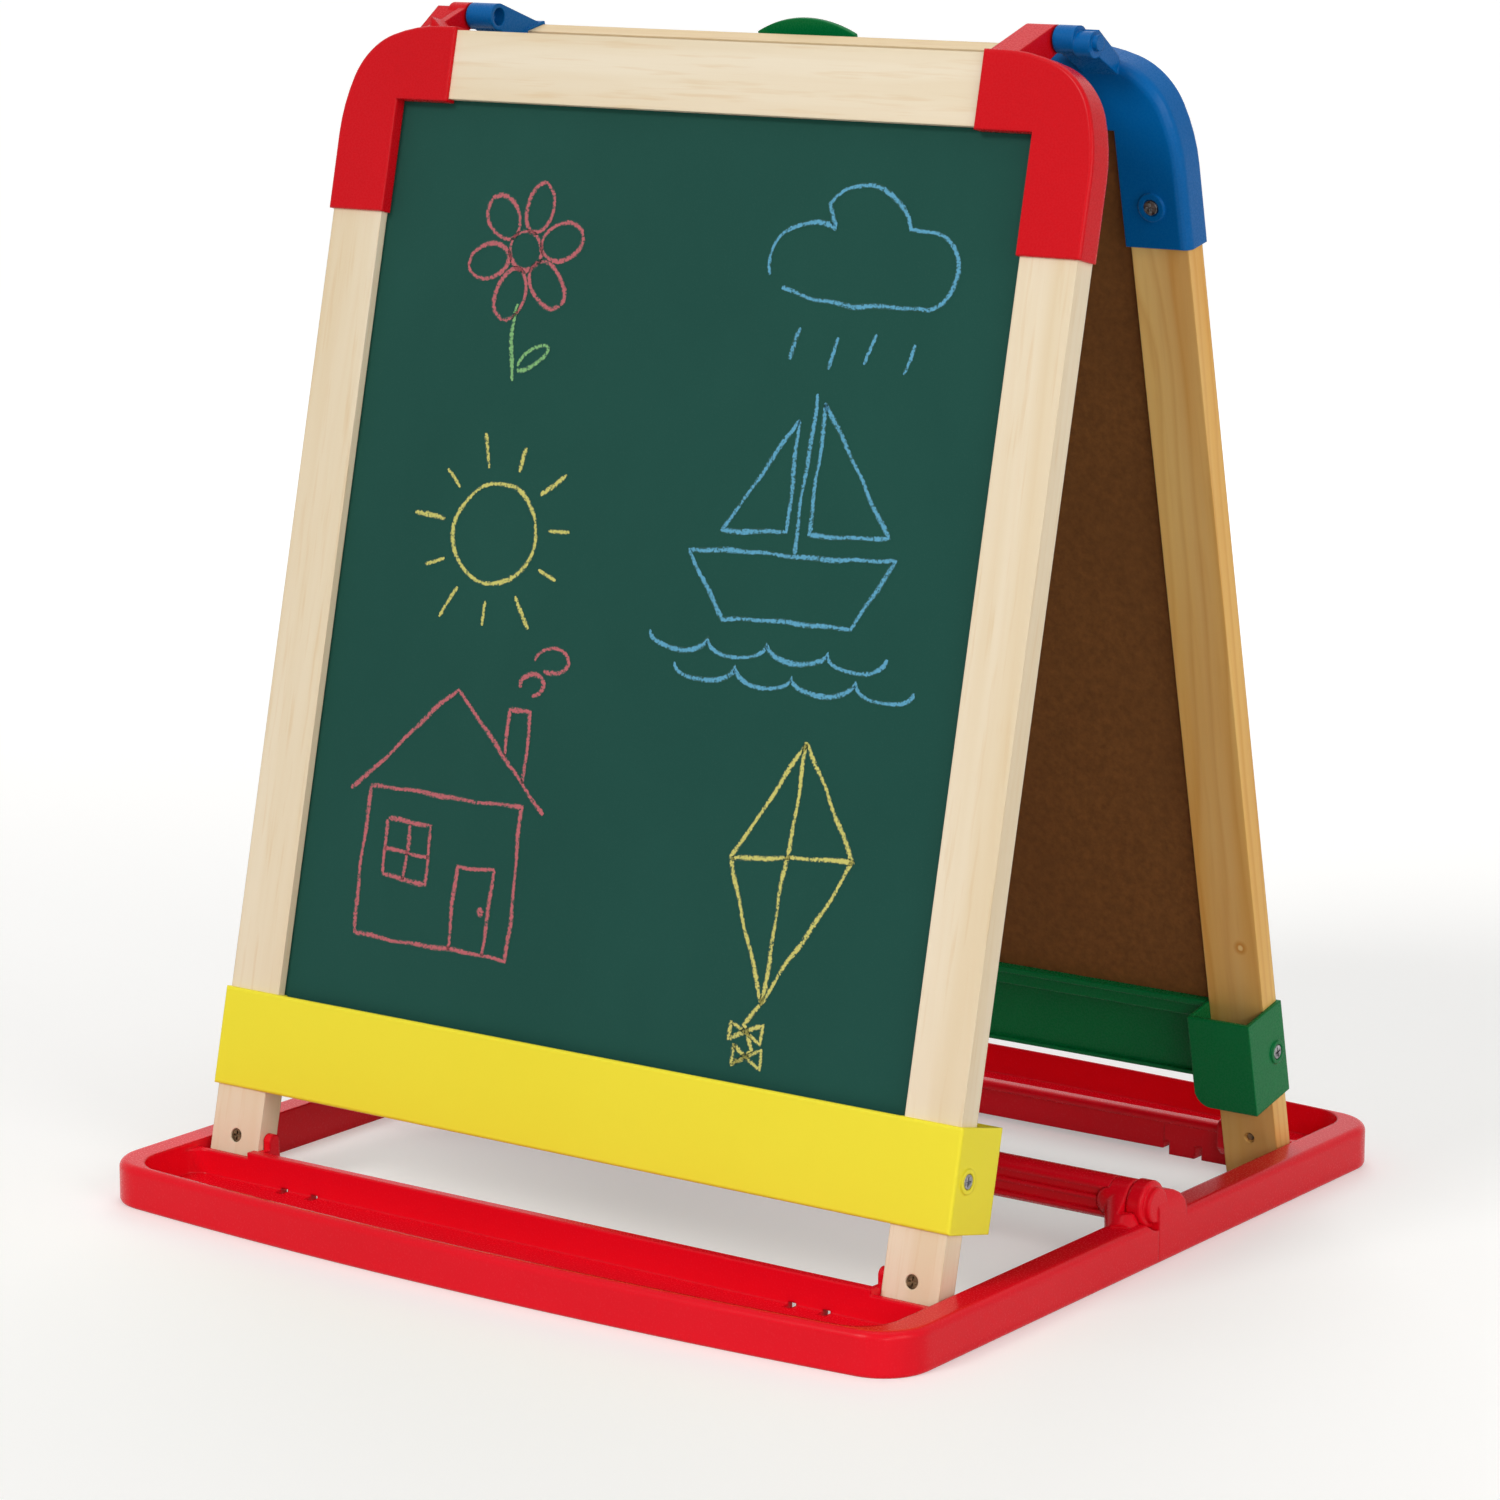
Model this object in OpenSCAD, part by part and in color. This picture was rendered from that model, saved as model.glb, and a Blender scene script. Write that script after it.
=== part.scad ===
// Folding tabletop easel for a child: two hinged board frames that stand on a
// tray base made of two halves.  Millimetres.  X runs across the boards, Y from
// the chalkboard side to the dry-erase side, Z up.  The origin is on the table,
// under the top hinge.

/* [Frames] */
// Width over the two stiles
frame_w = 410; // [360:1:460]
// Width of a stile, seen from the front
stile_w = 29; // [24:0.5:34]
// Thickness of the wood
stock_t = 12; // [11:0.5:14]
// Height of the top rail
top_rail_h = 32; // [28:1:38]
// Length of a frame along its slope, from the table to its top edge
frame_l = 547; // [480:1:620]
// Lean of each frame from the vertical, in degrees
lean = 12.85; // [11:0.05:15]
// Distance from a frame's outer face to the top hinge axis
hinge_t = 30.15; // [29:0.05:34]
// Height of the top hinge axis above the frame's top edge
hinge_rise = 11.7; // [10:0.1:14]

/* [Board] */
// Thickness of the board panel
board_t = 3; // [2:0.5:4]
// Depth of the board behind the frame's outer face
board_recess = 4.5; // [3:0.5:5]
// How far the board goes into its grooves
board_tuck = 4; // [3:0.5:6]

/* [Corner blocks] */
// Wall of the moulded corner blocks and bottom rails
wall = 2; // [1.5:0.1:2.5]
// Length of a block's upright leg below the frame's top edge
block_leg = 86; // [76:1:100]
// Length of a block's level arm from the frame's side
block_arm = 60; // [52:1:72]
// Radius at the middle of the outer corner
block_r = 34; // [30:1:40]
// Radius of the flatter arcs on both sides of the outer corner
block_flat_r = 80; // [60:1:90]
// Depth of a block's back wall
block_back = 3; // [2.5:0.1:3.5]
// Width of the hinge arm
arm_w = 15; // [12:0.5:18]
// Radius of the hinge drum
drum_r = 6.2; // [5.5:0.1:7]
// Radius of the top hinge pins
pin_r = 2.5; // [2:0.1:3]

/* [Bottom rails] */
// Height of the bottom rail's lower edge along the slope
rail_v = 47; // [42:1:56]
// Height of the bottom rail
rail_h = 46; // [40:1:54]
// Depth of the end brackets behind the frame's outer face
bracket_t = 29.6; // [24:0.1:29.6]

/* [Base] */
// Height of the tray base
base_h = 20; // [18:0.5:23]
// Width of a side rail
side_w = 15; // [12:0.5:20]
// Gap between an end bracket and a side rail
side_gap = 1.5; // [1:0.25:4]
// Width of a trough, from its inner wall to the front wall at the corners
trough_d = 50; // [40:1:60]
// How far the front wall bows out at its middle
bow = 9; // [5:0.5:14]
// Outer corner radius
base_r = 24; // [18:1:30]
// Inner wall of the troughs
tray_wall = 3; // [2.5:0.25:3.5]
// Outer wall of the troughs
front_wall = 4.25; // [3.5:0.25:5]
// Height of the trough floor
floor_z = 5.5; // [4.5:0.5:7]
// Height of the leg pivot
pivot_z = 22.5; // [22:0.25:25]
// Height of the middle hinge
mid_z = 27; // [26:0.25:29]
// Radius of the crossbar and of the elbows
bar_r = 10; // [8:0.25:10.5]

/* [Paper clip] */
// Width of the clip
clip_w = 54; // [40:1:70]
// Radius of the grip's upper edge
grip_r = 57; // [50:1:80]

/* [Hidden] */
$fn = 64;

eps = 0.01;
fit = 0.05;            // radial clearance of a pin in its bore
seat = 0.2;            // clearance of a board in its groove
lug = 1.5;             // wall of a block's top and inner edges
half_w = frame_w / 2;
stile_in = half_w - stile_w;
rail_bottom = frame_l - top_rail_h;
stile_top = frame_l - 39.5;
arm_end = half_w - block_arm;
block_t = stock_t + block_back;
rail_end = arm_end + 20;

// Top hinge axis in a frame's own plane, and where that puts the frame's foot
hinge_v = frame_l + hinge_rise;
foot_y = hinge_t * cos(lean) + hinge_v * sin(lean);

// Leg pivot
pivot_t = stock_t / 2;
pivot_v = (pivot_z + pivot_t * sin(lean)) / cos(lean);
pivot_y = -foot_y + pivot_v * sin(lean) + pivot_t * cos(lean);
pivot_r = 2;
foot_r = pivot_z - 0.7;       // the foot is rounded about its pivot, clear of the table
boss_r = 3.4;
boss_x = stile_in - 0.4;
boss_l = 4;                   // thickness of an ear
pivot_in = 11;                // how far a pivot pin goes into its leg
screw_x = half_w - stile_w / 2;

// Base outline
rail_in = half_w + wall + side_gap;
base_hw = rail_in + side_w;
wall_y = -foot_y - 0.6;       // face of a trough's inner wall, just in front of the feet
front_y = wall_y - tray_wall - trough_d;   // front wall at the corners
bow_r = ((base_hw - base_r) * (base_hw - base_r) + bow * bow) / (2 * bow);
bow_cy = front_y - bow + bow_r;
seam = 0.1;                   // half of the gap between the two base halves
rim_r = 3.6;
leg_wall_h = pivot_z - 5.4;   // the inner wall is lower in front of a leg, which folds over it
knuckle_x = rail_in + 3.3;    // where the elbows end and the drums begin
base_pin_r = 2.5;
mid_drum_r = bar_r + 0.8;
mid_gap = 0.5;
bar_flat = bar_r - 2.6;       // half depth of the crossbar, which is flat on two sides

// Screws
head_r = 3.2;
shank_r = 1.6;
screw_drop = 66.6;            // a block's lower screw, below the frame's top edge
corner_screw_v = frame_l - screw_drop;
arm_screw_u = arm_end + 12;
arm_screw_v = rail_bottom + top_rail_h / 2;
rail_screw_t = 7;
rail_screw_v = rail_v + rail_h / 2;
foot_screw_v = pivot_v;

red = "#d9202f";
blue = "#0065b0";
yellow = "#eed83c";
green = "#00703f";
pine = "#ead7b4";
steel = "#b9bcc0";

// ---------------------------------------------------------------- places

module front_frame_place() translate([0, -foot_y, 0]) rotate([-lean, 0, 0]) children();
module rear_frame_place() rotate([0, 0, 180]) front_frame_place() children();
module both_sides() { children(); mirror([1, 0, 0]) children(); }

// A flat shape drawn in the frame's plane, from depth t0 to t1
module slab(t0, t1) translate([0, t1, 0]) rotate([90, 0, 0]) linear_extrude(t1 - t0) children();
// A shape drawn across the frame (depth, height), from u0 to u1
module across(u0, u1) translate([u0, 0, 0]) rotate([90, 0, 90]) linear_extrude(u1 - u0) children();
module box(a, b) translate(a) cube([b[0] - a[0], b[1] - a[1], b[2] - a[2]]);
module rod_x(r, x0, x1) translate([x0, 0, 0]) rotate([0, 90, 0]) cylinder(r = r, h = x1 - x0);
module rod_t(r, t0, t1) translate([0, t0, 0]) rotate([-90, 0, 0]) cylinder(r = r, h = t1 - t0);

// ---------------------------------------------------------------- frame pieces

module board_space(gap)
    box([-stile_in - board_tuck - gap, board_recess - gap, rail_v + rail_h - 8 - gap],
        [stile_in + board_tuck + gap, board_recess + board_t + gap, rail_bottom + board_tuck + gap]);

module stile() {
    difference() {
        box([stile_in, 0, -5], [half_w, stock_t, stile_top]);
        board_space(seat);
        // rounded foot
        difference() {
            box([stile_in - 1, -1, -6], [half_w + 1, stock_t + 1, pivot_v]);
            translate([0, pivot_t, pivot_v]) rod_x(foot_r, stile_in - 2, half_w + 2);
        }
        translate([0, pivot_t, pivot_v]) rod_x(pivot_r + fit, stile_in - 1, stile_in + pivot_in + 0.2);
        screw_hole(screw_x, foot_screw_v);
        translate([screw_x, 0, corner_screw_v]) rod_t(shank_r + fit, 3, stock_t + 1);
        translate([0, rail_screw_t, rail_screw_v]) rod_x(shank_r + fit, half_w - 16.2, half_w + 1);
    }
}

// Through hole with a counterbore on the outer face and an open end on the inner face
module screw_hole(u, v) translate([u, 0, v]) {
    rod_t(shank_r + fit, -1, stock_t + 1);
    rod_t(head_r + fit, -1, 2.4);
    rod_t(2.6, stock_t - 2, stock_t + 1);
}

module top_rail() {
    difference() {
        box([-rail_end, 0, rail_bottom], [rail_end, stock_t, frame_l]);
        board_space(seat);
        both_sides() translate([arm_screw_u, 0, arm_screw_v]) rod_t(shank_r + fit, 7, stock_t + 1);
    }
}

module board() board_space(0);

// Outline of a corner block, right-hand side: a leg and an arm round one big corner.
// d insets the outer edges and e the others.  It runs anticlockwise from the leg's foot
// and ends at the inner corner.
flat_a = 20;
flat_at = (block_flat_r - block_r) * sin(flat_a);    // offsets between the arcs' centres
flat_up = (block_flat_r - block_r) * cos(flat_a);
small_at = block_flat_r - flat_up;
function arc(c, r, a0, a1, n) = [for (i = [0 : n]) let (a = a0 + (a1 - a0) * i / n)
    [c[0] + r * cos(a), c[1] + r * sin(a)]];
function block_outline(d, e) = let (top = frame_l + lug, side = half_w + wall, in = stile_in - lug)
    concat([[in + e, frame_l - block_leg + e], [side - d, frame_l - block_leg + e]],
        arc([side - block_flat_r, top - small_at - flat_at], block_flat_r - d, 0, flat_a, 4),
        arc([side - small_at, top - small_at], block_r - d, flat_a + 5, 90 - flat_a - 5, 8),
        arc([side - small_at - flat_at, top - block_flat_r], block_flat_r - d, 90 - flat_a, 90, 4),
        [[arm_end + e, top - d], [arm_end + e, rail_bottom - lug + e], [in + e, rail_bottom - lug + e]]);

// Solid form of a block: rings of points from its outer face to its back face
out_r = 1.6;
back_r = 5;
block_rings = concat(
    [for (a = [0, 4, 12, 25, 45, 65, 78, 86, 90])
        [-wall + out_r * (1 - cos(a)), out_r * (1 - sin(a)), 0.8 * (1 - sin(a))]],
    [for (a = [90, 86, 78, 62, 45, 28, 12, 4, 0])
        [block_t - back_r * (1 - cos(a)), back_r * (1 - sin(a)), 0.8 * (1 - sin(a))]]);
module block_form() {
    n = len(block_outline(0, 0));
    m = len(block_rings);
    polyhedron(
        points = [for (r = block_rings) for (p = block_outline(r[1], r[2])) [p[0], r[0], p[1]]],
        faces = concat([for (i = [0 : n - 3]) [n - 1, i + 1, i]],
            [for (i = [0 : n - 3]) [(m - 1) * n + n - 1, (m - 1) * n + i, (m - 1) * n + i + 1]],
            [for (j = [0 : m - 2]) for (i = [0 : n - 1]) let (k = (i + 1) % n)
                [j * n + i, (j + 1) * n + k, (j + 1) * n + i]],
            [for (j = [0 : m - 2]) for (i = [0 : n - 1]) let (k = (i + 1) % n)
                [j * n + i, j * n + k, (j + 1) * n + k]]));
}

// Corner block without its hinge part, right-hand side
module block_shell() {
    holes = [[screw_x, corner_screw_v], [arm_screw_u, arm_screw_v]];
    difference() {
        union() {
            block_form();
            for (p = holes) translate([p[0], 0, p[1]]) rod_t(6.4, stock_t + 1, block_t + 1.2);
        }
        box([stile_in, 0, frame_l - block_leg - 1], [half_w, stock_t, stile_top]);
        box([arm_end - 1, 0, rail_bottom], [rail_end, stock_t, frame_l]);
        board_space(seat);
        for (p = holes) translate([p[0], 0, p[1]]) {
            rod_t(head_r + 0.6, block_t - 0.2, block_t + 5);
            rod_t(shank_r + fit, stock_t - 1, block_t + 5);
        }
    }
}

// Point where a line from p touches the circle of radius r about c, on its upper side
function touch(p, c, r) =
    let (d = c - p, a = atan2(d[1], d[0]), b = asin(r / norm(d)), g = a + b + 90)
    [c[0] + r * cos(g), c[1] + r * sin(g)];

axis = [hinge_t, hinge_v];
arm_u = arm_end + 1;

web_root = [[block_t - 2.4, frame_l - 8], [block_t - 2.4, frame_l]];

// Inboard hinge arm: a wedge that rises from the block's top to a drum on the axis
module arm_form() {
    difference() {
        across(arm_u, arm_u + arm_w) {
            polygon(concat([[1, frame_l + lug - 0.5], touch([1, frame_l + lug - 0.5], axis, drum_r), axis,
                [hinge_t + 1, hinge_v - drum_r + 0.1], [block_t - 0.5, frame_l - 8]], web_root));
            translate(axis) circle(r = drum_r);
        }
        box([arm_u - 1, 0, rail_bottom], [rail_end, stock_t, frame_l]);
        translate([0, hinge_t, hinge_v]) rod_x(drum_r - 2, arm_u - 1, arm_u + 6);
    }
}

claw_u = arm_u + arm_w + 1.3;
claw_w = 20.5;
lobe_drop = 2;

// Outboard hinge knuckle: two lobes and an end cap on a web, with a gusset at its foot
module knuckle_form() {
    for (p = [[0, 10.2, drum_r, 0], [9.7, 18, drum_r - 0.4, lobe_drop], [17.5, claw_w, 3.5, lobe_drop / 2]])
        across(claw_u + p[0], claw_u + p[1]) translate([hinge_t, hinge_v - p[3]]) circle(r = p[2]);
    across(claw_u, claw_u + 17.8) polygon(concat([[hinge_t - 4, hinge_v + 3.6], axis,
        [hinge_t + 0.5, hinge_v - 6], [block_t - 0.5, frame_l - 8]], web_root));
    slab(2, stock_t) polygon([[claw_u - 6, frame_l + 1], [claw_u + 1, frame_l + 1],
        [claw_u + 1, frame_l + 6]]);
    across(claw_u, claw_u + 4) polygon([[2, frame_l + 1], [stock_t, frame_l + 6], [hinge_t - 4, hinge_v + 3.6],
        [hinge_t - 4, hinge_v - 4], [stock_t, frame_l + 0.2]]);
}

// The rear pieces hold the pins; the front ones take them in slots that open toward the
// rear, so a frame comes off its pins when the two feet are pulled apart
pin_end = claw_u + claw_w - 3;
mouth = 16;            // the mouth of a slot flares upward at this angle, in degrees
module pin_bore() translate([0, hinge_t, hinge_v]) rod_x(pin_r + fit, arm_u - 1, pin_end + 0.1);
module pin_slot() across(arm_u - 1, pin_end + 0.3) translate(axis) {
    circle(r = pin_r + 0.15);
    polygon([[0, -pin_r - 0.25], [9, -pin_r - 0.25], [9, pin_r + 0.25 + 9 * tan(mouth)],
        [0, pin_r + 0.25]]);
}

// Mould half-round along the edges of a channel: (depth, height) outline with rounded
// front corners
module soft_front(t0, t1, v0, v1, r) {
    translate([t0 + r, v0]) square([t1 - t0 - r, v1 - v0]);
    translate([t0, v0 + r]) square([r + eps, v1 - v0 - 2 * r]);
    for (v = [v0 + r, v1 - r]) translate([t0 + r, v]) circle(r = r);
}

module bottom_rail() {
    top = rail_v + rail_h;
    side = half_w + wall;
    ledge = top - 8 - seat - 2;
    back = board_recess + board_t + seat;
    soft = 1.4;
    in = stile_in - 1.8;
    intersection() {
        difference() {
            union() {
                // face plate
                box([-side, -wall, rail_v], [side, 0, top]);
                // channel that carries the board's lower edge, with a lip on its back wall
                box([-stile_in, -eps, ledge], [stile_in, back + 1.5, ledge + 2]);
                box([-stile_in, back, ledge], [stile_in, back + 1.5, top]);
                box([-stile_in, back, top - 3], [stile_in, stock_t, top]);
                // bead along the lower edge
                box([-stile_in, -eps, rail_v], [stile_in, 2, rail_v + 2]);
                // brackets round the stiles
                both_sides() {
                    box([half_w, -eps, rail_v], [side, bracket_t, top]);
                    slab(bracket_t - wall, bracket_t) {
                        translate([in, rail_v + 8]) square([side - in, rail_h - 8]);
                        translate([in + 8, rail_v]) square([side - in - 8, 9]);
                        translate([in + 8, rail_v + 8]) circle(r = 8);
                    }
                    across(in, stile_in) polygon([[-eps, rail_v + 14], [stock_t, rail_v + 14],
                        [bracket_t, rail_v + 6], [bracket_t, top], [-eps, top]]);
                    translate([0, rail_screw_t, rail_screw_v]) rod_x(5.6, half_w + eps, side + 0.8);
                }
            }
            board_space(seat);
            both_sides() translate([0, rail_screw_t, rail_screw_v]) {
                rod_x(head_r + 0.4, half_w + 1, half_w + 6);
                rod_x(shank_r + fit, half_w - 1, half_w + 6);
            }
        }
        across(-side - 1, side + 1) soft_front(-wall, bracket_t + soft, rail_v, top, soft);
        translate([0, 0, rail_v - 1]) linear_extrude(rail_h + 2) union() {
            translate([-side + soft, -wall]) square([2 * side - 2 * soft, bracket_t + wall + 1]);
            translate([-side - 1, -wall + soft]) square([2 * side + 2, bracket_t + wall + 1]);
            for (u = [-side + soft, side - soft]) translate([u, -wall + soft]) circle(r = soft);
        }
    }
}

// Pan-head screw with a cross recess; it points along +Y from its head
module screw(l) {
    difference() {
        union() {
            rod_t(head_r, -1.6, 0);
            rod_t(shank_r, -eps, l);
        }
        box([-2.2, -2, -0.45], [2.2, -0.7, 0.45]);
        box([-0.45, -2, -2.2], [0.45, -0.7, 2.2]);
    }
}

module corner_screws() both_sides()
    for (p = [[screw_x, corner_screw_v, 10], [arm_screw_u, arm_screw_v, 6]])
        translate([p[0], block_t - 0.2, p[1]]) rotate([180, 0, 0]) screw(p[2]);

module rail_screws() both_sides()
    translate([half_w + 1, rail_screw_t, rail_screw_v]) rotate([0, 0, 90]) screw(16);

module foot_screws() both_sides()
    translate([screw_x, 2.4, foot_screw_v]) screw(stock_t - 2.4 - 1);

module pivot_pins() both_sides() translate([0, pivot_t, pivot_v])
    rod_x(pivot_r, boss_x - boss_l + 1.2, stile_in + pivot_in);

module hinge_pin() translate([0, hinge_t, hinge_v]) rod_x(pin_r, arm_u + 6.4, pin_end);

// ---------------------------------------------------------------- paper clip

clip_v = frame_l - 12;      // height of the clip's pivot
clip_t = -6.4;              // depth of the clip's pivot, outside the rail's face
clip_r = 1.5;
ear_r = 2.4;
grip_h = 17;                // the grip's top above the clip's pivot

module clip_base() difference() {
    union() {
        box([-clip_w / 2, -2, rail_bottom + 4], [clip_w / 2, 0, frame_l - 3]);
        for (s = [-1, 1]) across(s * (clip_w / 2 - 5) - 1.5, s * (clip_w / 2 - 5) + 1.5) {
            translate([clip_t, clip_v]) circle(r = ear_r);
            polygon([[clip_t, clip_v - ear_r], [clip_t, clip_v + ear_r], [-1, clip_v + 6], [-1, clip_v - 6]]);
        }
    }
    translate([0, clip_t, clip_v]) rod_x(clip_r + fit, -clip_w, clip_w);
}

// Lever: a grip with a round top above the pivot, and a jaw that bears on the board
module clip_lever() {
    difference() {
        union() {
            // grip: a shallow round tab
            slab(clip_t - 4.6, clip_t - 2.6) intersection() {
                translate([0, clip_v + grip_h - grip_r]) circle(r = grip_r, $fn = 160);
                translate([-clip_w / 2, clip_v - 3]) square([clip_w, 24]);
            }
            // jaw
            across(-clip_w / 2, clip_w / 2) polygon([
                [clip_t - 4.6, clip_v - 2.9], [clip_t - 2.6, clip_v - 2.9],
                [clip_t - 2, rail_bottom], [board_recess - 2.2, rail_bottom - 9],
                [board_recess - 0.3, rail_bottom - 14], [board_recess - 0.3, rail_bottom - 19],
                [board_recess - 2.3, rail_bottom - 19], [board_recess - 2.3, rail_bottom - 14.4],
                [board_recess - 4.6, rail_bottom - 10], [clip_t - 4.6, rail_bottom - 2]]);
            // knuckles on the pin
            for (s = [-1, 1]) across(s * (clip_w / 2 - 10) - 2.5, s * (clip_w / 2 - 10) + 2.5) {
                translate([clip_t, clip_v]) circle(r = 3);
                polygon([[clip_t - 4, clip_v + 3], [clip_t, clip_v + 3], [clip_t, clip_v - 3], [clip_t - 4, clip_v - 3]]);
            }
        }
        translate([0, clip_t, clip_v]) rod_x(clip_r + fit, -clip_w, clip_w);
    }
}

module clip_pin() translate([0, clip_t, clip_v]) rod_x(clip_r, -clip_w / 2 + 3.2, clip_w / 2 - 3.2);

// Torsion spring: coils side by side on the pin
module clip_spring() for (i = [-5 : 5])
    translate([i * 1.1, clip_t, clip_v]) rotate([0, 90, 0]) rotate_extrude()
        translate([1.95, 0]) circle(r = 0.4, $fn = 16);

// ---------------------------------------------------------------- base

// Half outline with a bowed front: half width hw, corner radius rc, bow radius rb.
// The points run from the left end of the seam round the front to the right end.
corner_steps = 14;
bow_steps = 24;
function bow_angle(hw, rc, rb) = asin((hw - rc) / (rb - rc));
function right_corner(hw, rc, rb) = let (p = bow_angle(hw, rc, rb), cy = bow_cy - (rb - rc) * cos(p))
    [for (i = [0 : corner_steps]) let (a = p - 90 + (90 - p) * i / corner_steps)
        [hw - rc + rc * cos(a), cy + rc * sin(a)]];
function outline(hw, rc, rb) = let (c = right_corner(hw, rc, rb), p = bow_angle(hw, rc, rb))
    concat([[-hw, -seam]],
        [for (i = [corner_steps : -1 : 0]) [-c[i][0], c[i][1]]],
        [for (i = [1 : bow_steps - 1]) let (a = p * (2 * i / bow_steps - 1))
            [rb * sin(a), bow_cy - rb * cos(a)]],
        c, [[hw, -seam]]);
module bowed(hw, rc, rb) polygon(outline(hw, rc, rb));

// Solid form of a base half: rings of points up its rounded bottom edge and rim
rings = concat([[1.4, 0], [0.5, 0.5], [0, 1.6]],
    [for (a = [0, 5, 15, 30, 45, 60, 72, 82, 88, 90])
        [rim_r * (1 - cos(a)), base_h - rim_r * (1 - sin(a))]]);
module base_form() {
    n = len(outline(base_hw, base_r, bow_r));
    m = len(rings);
    polyhedron(
        points = [for (r = rings) for (p = outline(base_hw - r[0], base_r - r[0], bow_r - r[0]))
            [p[0], p[1], r[1]]],
        faces = concat([[for (i = [0 : n - 1]) i]], [[for (i = [n - 1 : -1 : 0]) (m - 1) * n + i]],
            [for (j = [0 : m - 2]) for (i = [0 : n - 1]) let (k = (i + 1) % n)
                [j * n + i, (j + 1) * n + i, (j + 1) * n + k]],
            [for (j = [0 : m - 2]) for (i = [0 : n - 1]) let (k = (i + 1) % n)
                [j * n + i, (j + 1) * n + k, j * n + k]]));
}

// Ear beside each leg, which carries the leg's pivot pin
module leg_ear() across(boss_x - boss_l, boss_x) {
    translate([pivot_y, pivot_z]) circle(r = boss_r);
    polygon([[wall_y - 1, 9], [wall_y - 1, base_h - 1], [pivot_y - boss_r, base_h - 1.2],
        [pivot_y - boss_r, pivot_z], [pivot_y + boss_r, pivot_z], [pivot_y + boss_r, 13], [pivot_y, 9]]);
}

pad_in = boss_x - 41.6;       // pads at the foot of the inner wall, beside each leg
wall_lift = 2.3;              // the wall between the pads stays clear of the table
bead_t = 2.3;

module base_half() difference() {
    union() {
        difference() {
            union() {
                base_form();
                // pads: the foot of the inner wall is thicker there
                both_sides() box([pad_in, wall_y - 1, 0], [boss_x, wall_y + 1, base_h - 4]);
            }
            // trough with rounded corners
            translate([0, 0, floor_z]) linear_extrude(base_h) difference() {
                intersection() {
                    bowed(rail_in, 20, bow_r - front_wall);
                    translate([-base_hw, bow_cy - bow_r])
                        square([2 * base_hw, wall_y - tray_wall - bow_cy + bow_r]);
                }
                both_sides() difference() {
                    translate([rail_in - 9, wall_y - tray_wall - 9]) square(10);
                    translate([rail_in - 9, wall_y - tray_wall - 9]) circle(r = 9);
                }
            }
            // space between the side rails
            difference() {
                box([-rail_in, wall_y, -1], [rail_in, 5, base_h + 1]);
                both_sides() box([pad_in, wall_y - 1, 0], [boss_x, wall_y + 1, base_h - 4]);
            }
            // lower wall in front of each leg
            both_sides() box([boss_x, wall_y - tray_wall - 10, leg_wall_h], [rail_in, wall_y + 1, base_h + 1]);
            // hollow undersides
            translate([0, 0, -1]) linear_extrude(floor_z - 1.5) intersection() {
                bowed(rail_in - 4, 12, bow_r - 8);
                translate([-base_hw, bow_cy - bow_r]) square([2 * base_hw, wall_y - tray_wall - 4 - bow_cy + bow_r]);
            }
            both_sides() box([rail_in + 2.5, wall_y - 30, -1], [base_hw - 2.5, -24, base_h - 4]);
            // the inner wall between the pads stays clear of the table
            box([-pad_in, wall_y - tray_wall - 4, -1], [pad_in, wall_y + 1, wall_lift]);
            // slots in the pads
            both_sides() for (x = [pad_in - 1, pad_in + 17])
                box([x, wall_y - tray_wall - 4.5, -1], [x + 4, wall_y + 2, 6.5]);
        }
        // rolled bead along the inner wall's rim
        across(-boss_x, boss_x) {
            translate([wall_y + bead_t - 1.2, base_h - 2.3]) circle(r = 2.3);
            translate([wall_y - 1, base_h - 4.6]) square([bead_t - 0.2, 4.6]);
        }
        both_sides() leg_ear();
    }
    both_sides() translate([0, pivot_y, pivot_z]) rod_x(pivot_r + fit, boss_x - boss_l + 1, boss_x + 1);
}

// A shape drawn as (radius, length), turned about the axis of the middle hinge from x0 on
module turned(x0) translate([x0, 0, mid_z]) rotate([0, 90, 0]) rotate_extrude() children();
module soft_end(r, l, e) {
    square([r - e, l]);
    square([r, l - e]);
    translate([r - e, l - e]) circle(r = e, $fn = 24);
}

// Domed elbow that carries the crossbar and the hinge pin, with a limb down to the rail
dome_x = rail_in - 7;
limb_foot = [rail_in + 5, -17, base_h - 4];
module elbow() {
    limb = limb_foot - [dome_x + 4, 0, mid_z];
    difference() {
        union() {
            translate([dome_x, 0, mid_z]) sphere(r = bar_r);
            translate([dome_x + 4, 0, mid_z]) rotate([0, acos(limb[2] / norm(limb)), atan2(limb[1], limb[0])])
                cylinder(r1 = bar_r - 0.4, r2 = 7, h = norm(limb));
        }
        // seat of the crossbar's end
        box([dome_x - bar_r - 4, -bar_flat, mid_z - bar_r - 1], [dome_x, bar_flat, mid_z + bar_r + 1]);
    }
    turned(dome_x) soft_end(bar_r, knuckle_x - mid_gap / 2 - dome_x, 1.6);
}

module front_base_half() {
    difference() {
        union() {
            base_half();
            both_sides() elbow();
        }
        both_sides() {
            translate([0, 0, mid_z]) rod_x(base_pin_r + fit, rail_in - 6, base_hw + 1);
            translate([0, 0, mid_z]) rod_x(mid_drum_r + mid_gap, knuckle_x - mid_gap / 2, base_hw + 1);
            // the limb stays clear of the drum's neck when the base is folded
            box([knuckle_x - mid_gap / 2, -40, mid_z - 1.9], [base_hw + 1, 0, mid_z + bar_r]);
            // below the rail's top everything stays on this half's side of the seam, and the
            // limb stays inside the rail
            box([rail_in - 20, -seam, -1], [base_hw + 1, 14, mid_z - bar_r + 0.2]);
            box([rail_in - 20, -40, -1], [rail_in, 3, mid_z - bar_r - 0.5]);
        }
    }
}

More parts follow.
